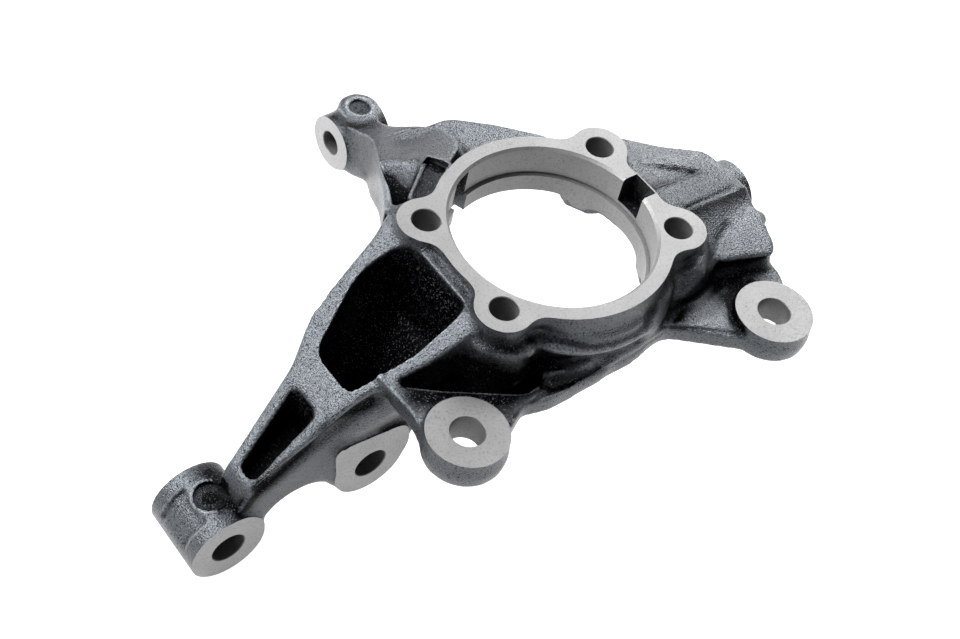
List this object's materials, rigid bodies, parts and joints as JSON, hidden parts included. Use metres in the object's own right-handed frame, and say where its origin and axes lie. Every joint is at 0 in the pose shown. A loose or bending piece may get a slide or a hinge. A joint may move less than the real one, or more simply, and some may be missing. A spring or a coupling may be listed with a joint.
{
  "type": "steering knuckle",
  "caption": "Cast steering knuckle: hub ring with bolt lobes, forked strut arm, steering arm, ball joint boss and caliper ears.",
  "frame": {"origin": "centre of the hub bore on the machined hub face", "axes": "+Z outboard along the hub axis, +X towards the caliper ears, +Y towards the ball joint"},
  "size_m": [0.2264, 0.2955, 0.1166],
  "materials": {
    "casting": "black coated casting, machined faces and bores bare"
  },
  "bodies": {
    "root": {"knuckle": "casting"}
  },
  "joints": []
}
